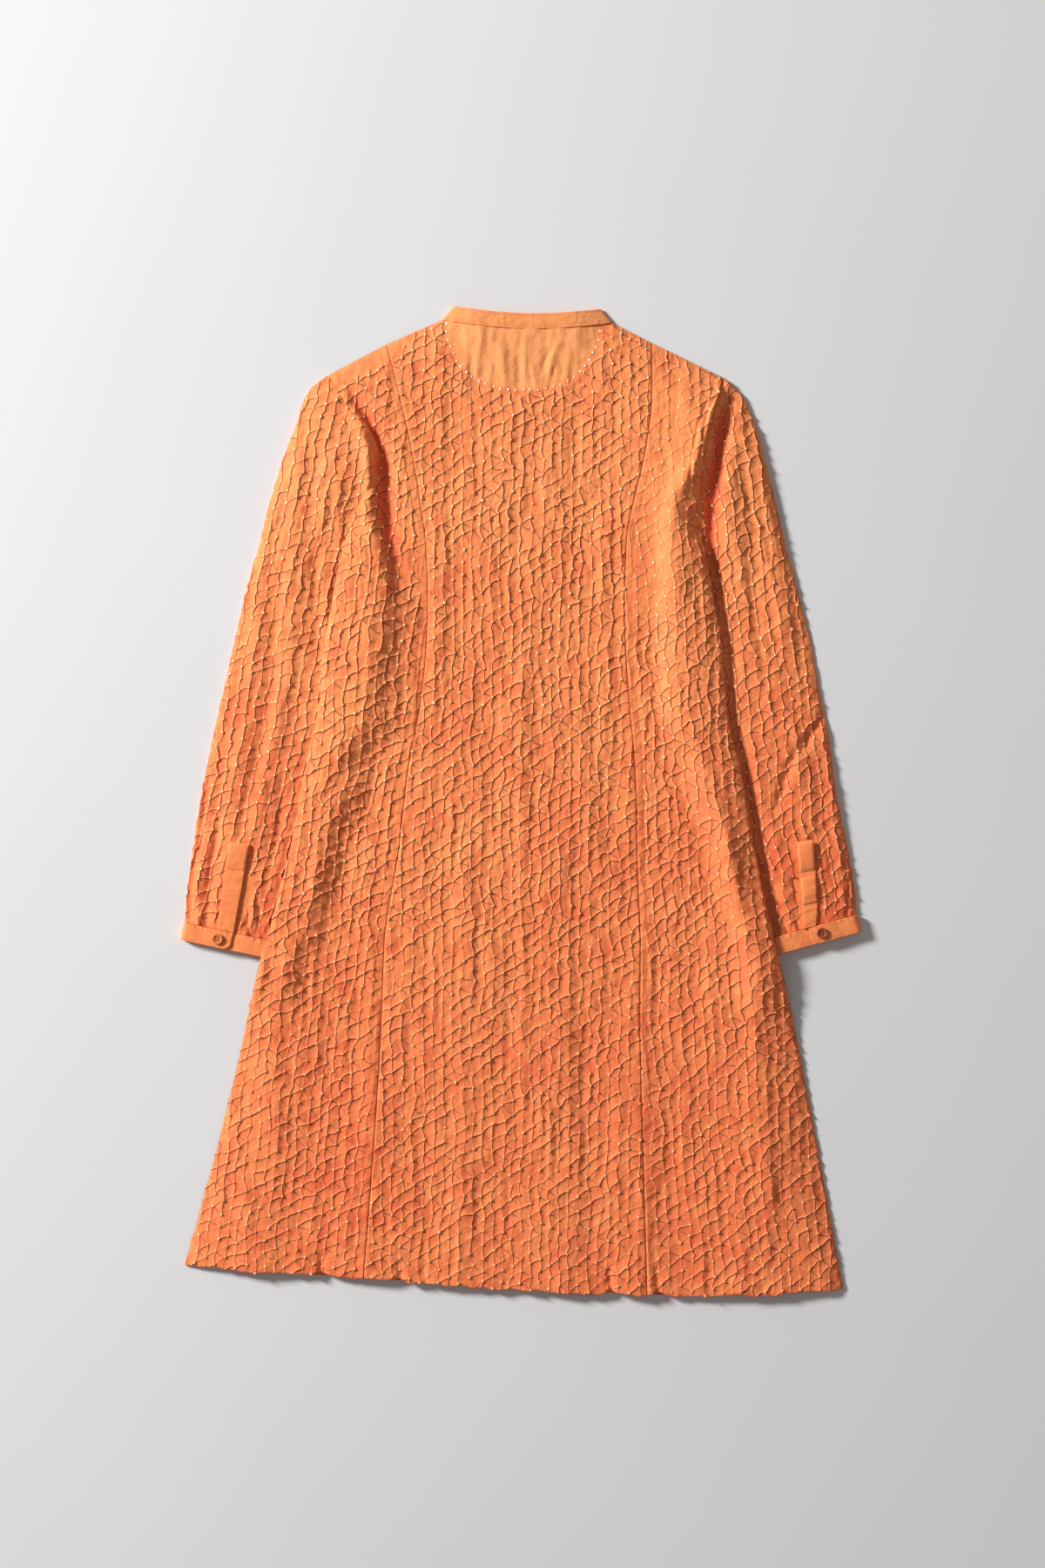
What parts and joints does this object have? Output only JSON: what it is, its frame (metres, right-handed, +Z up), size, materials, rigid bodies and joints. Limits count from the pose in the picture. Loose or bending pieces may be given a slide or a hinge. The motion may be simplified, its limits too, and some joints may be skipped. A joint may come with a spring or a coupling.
{
  "type": "long-sleeved tie-dyed tunic dress laid flat",
  "caption": "Long-sleeved A-line tunic dress in puckered tie-dyed cloth with a stand collar and buttoned cuffs, laid flat with its back up.",
  "frame": {"origin": "on the surface that the dress lies on, under the middle of its outline", "axes": "+X to the right of the laid dress, seen from above, +Y towards the collar, +Z up from the surface, so that the back of the dress faces +Z"},
  "size_m": [0.6953, 1.0088, 0.0237],
  "materials": {
    "tied_cloth": "soft puckered cotton, matte",
    "plain_cloth": "smooth plain cotton, matte",
    "light_button": "satin dyed-to-match button",
    "dark_button": "satin red-brown button"
  },
  "bodies": {
    "root": {"back_centre": "tied_cloth", "back_side_left": "tied_cloth", "back_side_right": "tied_cloth", "front_centre_left": "tied_cloth", "front_centre_right": "tied_cloth", "front_side_left": "tied_cloth", "front_side_right": "tied_cloth", "sleeve_left": "tied_cloth", "sleeve_right": "tied_cloth", "collar": "plain_cloth", "front_placket": "plain_cloth", "cuff_left": "plain_cloth", "cuff_right": "plain_cloth", "sleeve_placket_left": "plain_cloth", "sleeve_placket_right": "plain_cloth", "sleeve_underlap_left": "plain_cloth", "sleeve_underlap_right": "plain_cloth", "button_left": "light_button", "button_right": "dark_button"}
  },
  "joints": []
}
